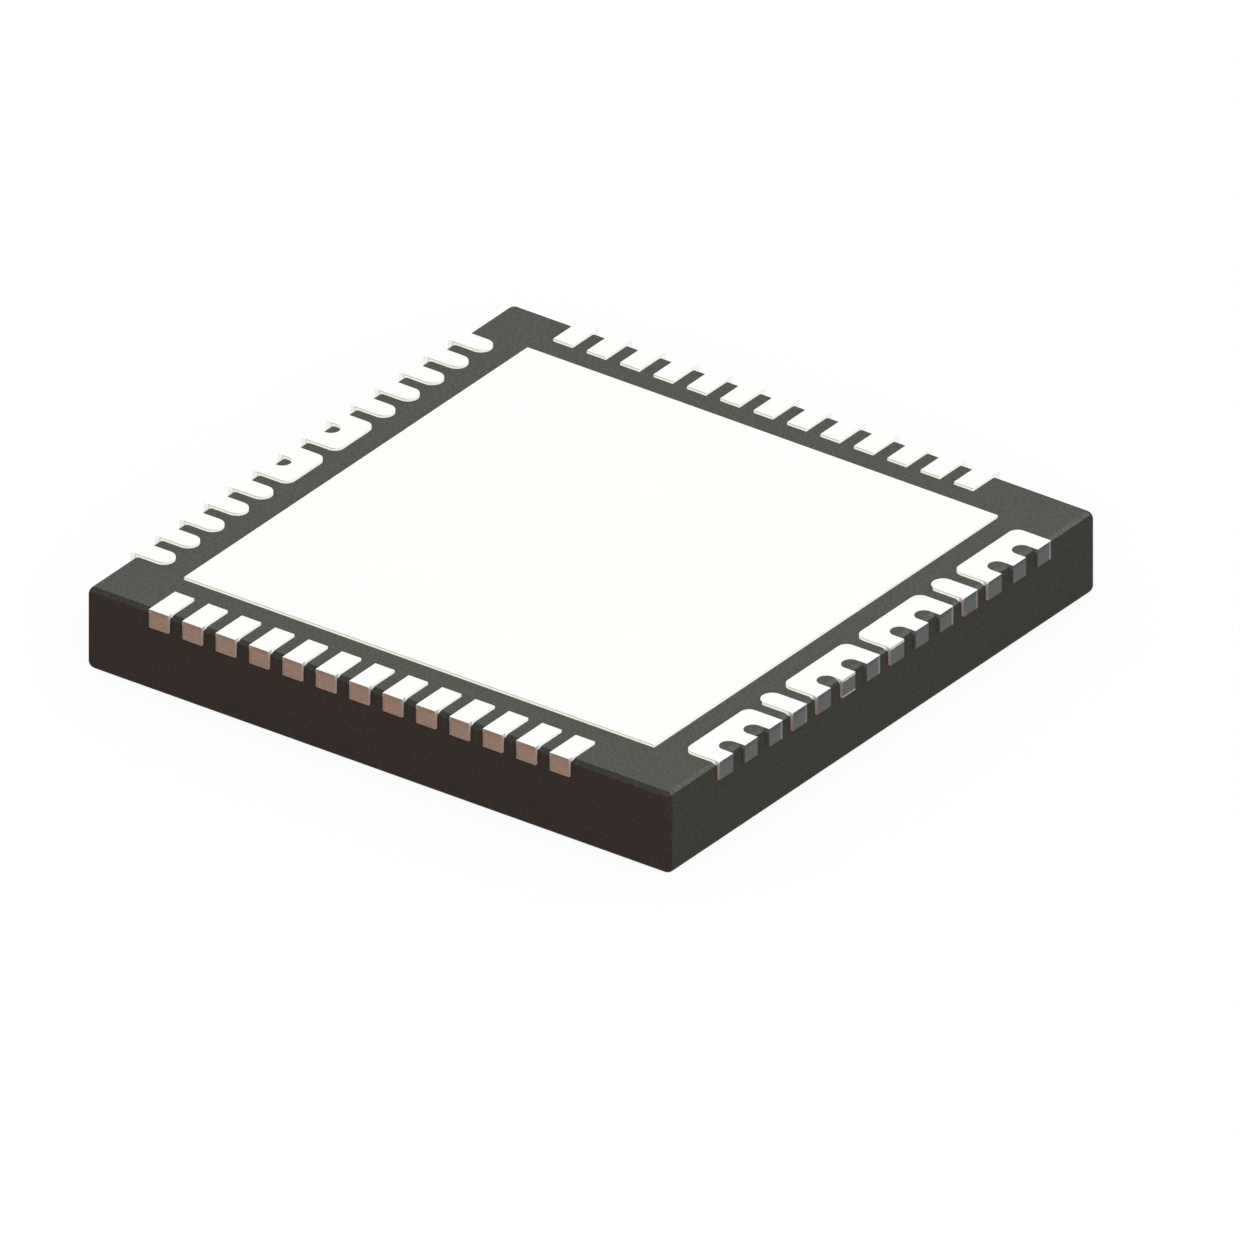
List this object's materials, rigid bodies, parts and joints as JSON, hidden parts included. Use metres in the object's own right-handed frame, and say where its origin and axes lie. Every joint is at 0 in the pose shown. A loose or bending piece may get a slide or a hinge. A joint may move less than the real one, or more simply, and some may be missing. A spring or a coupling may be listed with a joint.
{
  "type": "qfn package",
  "caption": "Square flat no-lead chip package, lying pads up: moulded body, large thermal pad and leads on four sides, with a die and bond wires inside.",
  "frame": {"origin": "middle of the moulded top, which is the face the package rests on", "axes": "+Z out of the thermal pad, away from the moulded top; +X towards the column of merged leads; +Y towards the back row"},
  "size_m": [0.007, 0.007, 0.0009],
  "materials": {
    "moulding": "matte epoxy moulding compound",
    "tinned_copper": "matte tin plating on copper",
    "silicon": "polished silicon",
    "attach": "silver-filled epoxy",
    "bond_wire": "bare copper wire"
  },
  "bodies": {
    "root": {"die_attach": "attach", "lead_back_01": "tinned_copper", "lead_back_02": "tinned_copper", "lead_back_03": "tinned_copper", "lead_back_04": "tinned_copper", "lead_back_05": "tinned_copper", "lead_back_06": "tinned_copper", "lead_back_07": "tinned_copper", "lead_back_08": "tinned_copper", "lead_back_09": "tinned_copper", "lead_back_10": "tinned_copper", "lead_back_11": "tinned_copper", "lead_back_12": "tinned_copper", "lead_back_13": "tinned_copper", "lead_front_01": "tinned_copper", "lead_front_02": "tinned_copper", "lead_front_03": "tinned_copper", "lead_front_04": "tinned_copper", "lead_front_05": "tinned_copper", "lead_front_06": "tinned_copper", "lead_front_07": "tinned_copper", "lead_front_08": "tinned_copper", "lead_front_09": "tinned_copper", "lead_front_10": "tinned_copper", "lead_front_11": "tinned_copper", "lead_front_12": "tinned_copper", "lead_front_13": "tinned_copper", "lead_left_01": "tinned_copper", "lead_left_02": "tinned_copper", "lead_left_03": "tinned_copper", "lead_left_04": "tinned_copper", "lead_left_05": "tinned_copper", "lead_left_06": "tinned_copper", "lead_left_07": "tinned_copper", "lead_left_08": "tinned_copper", "lead_left_09": "tinned_copper", "lead_left_10": "tinned_copper", "lead_left_11": "tinned_copper", "lead_left_12": "tinned_copper", "lead_right_01": "tinned_copper", "lead_right_02": "tinned_copper", "lead_right_03": "tinned_copper", "lead_right_04": "tinned_copper", "lead_right_05": "tinned_copper", "lead_right_06": "tinned_copper", "mould_body": "moulding", "silicon_die": "silicon", "thermal_pad": "tinned_copper", "wires_back": "bond_wire", "wires_front": "bond_wire", "wires_left": "bond_wire", "wires_right": "bond_wire"}
  },
  "joints": []
}
